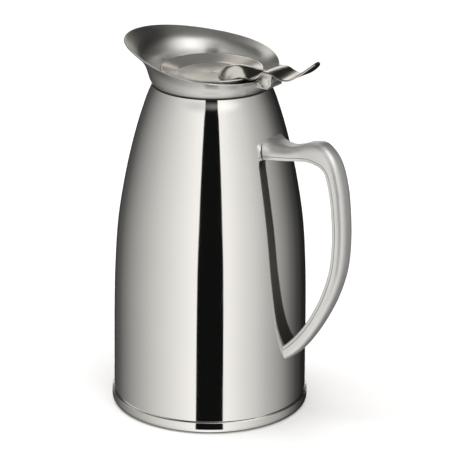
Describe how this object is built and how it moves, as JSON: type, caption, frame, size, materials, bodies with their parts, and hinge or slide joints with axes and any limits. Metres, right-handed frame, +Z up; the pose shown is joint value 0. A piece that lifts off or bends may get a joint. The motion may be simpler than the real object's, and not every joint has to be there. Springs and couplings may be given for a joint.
{
  "type": "coffee pot",
  "caption": "Insulated steel coffee pot with a tapering polished body, flared pouring collar, looped side handle and hinged lid with a thumb lever.",
  "frame": {"origin": "centre of the resting face, on the body's axis", "axes": "+Z up along the body's axis, -X towards the spout, +X towards the hinge and handle, X-Z is the plane of symmetry"},
  "size_m": [0.1521, 0.116, 0.2185],
  "materials": {
    "polished_steel": "mirror polish",
    "satin_steel": "satin",
    "lid_steel": "fine satin",
    "black_rubber": "matte",
    "insulation_plastic": "matte foam",
    "washer_plastic": "matte"
  },
  "bodies": {
    "pot": {"outer_shell": "polished_steel", "inner_liner": "satin_steel", "liner_base": "satin_steel", "vacuum_base": "satin_steel", "seal_plug": "satin_steel", "getter_cup": "satin_steel", "base_cup": "polished_steel", "neck_gasket": "black_rubber", "pouring_collar": "satin_steel", "hinge_bracket": "satin_steel", "hinge_barrel": "satin_steel", "handle_outer_shell": "polished_steel", "handle_inner_tray": "polished_steel", "handle_upper_plate": "satin_steel", "handle_lower_plate": "satin_steel"},
    "lid": {"lid_dish": "lid_steel", "lid_base_pan": "satin_steel", "lid_insulation": "insulation_plastic", "lid_seal": "black_rubber", "thumb_lever": "lid_steel", "hinge_pin": "polished_steel", "hinge_washer_near": "washer_plastic", "hinge_washer_far": "washer_plastic"}
  },
  "joints": [
    {"name": "lid_hinge", "type": "hinge", "parent": "pot", "child": "lid", "pos_m": [0.043, 0, 0.205], "axis": [0, 1, 0], "range_deg": [0, 80]}
  ]
}
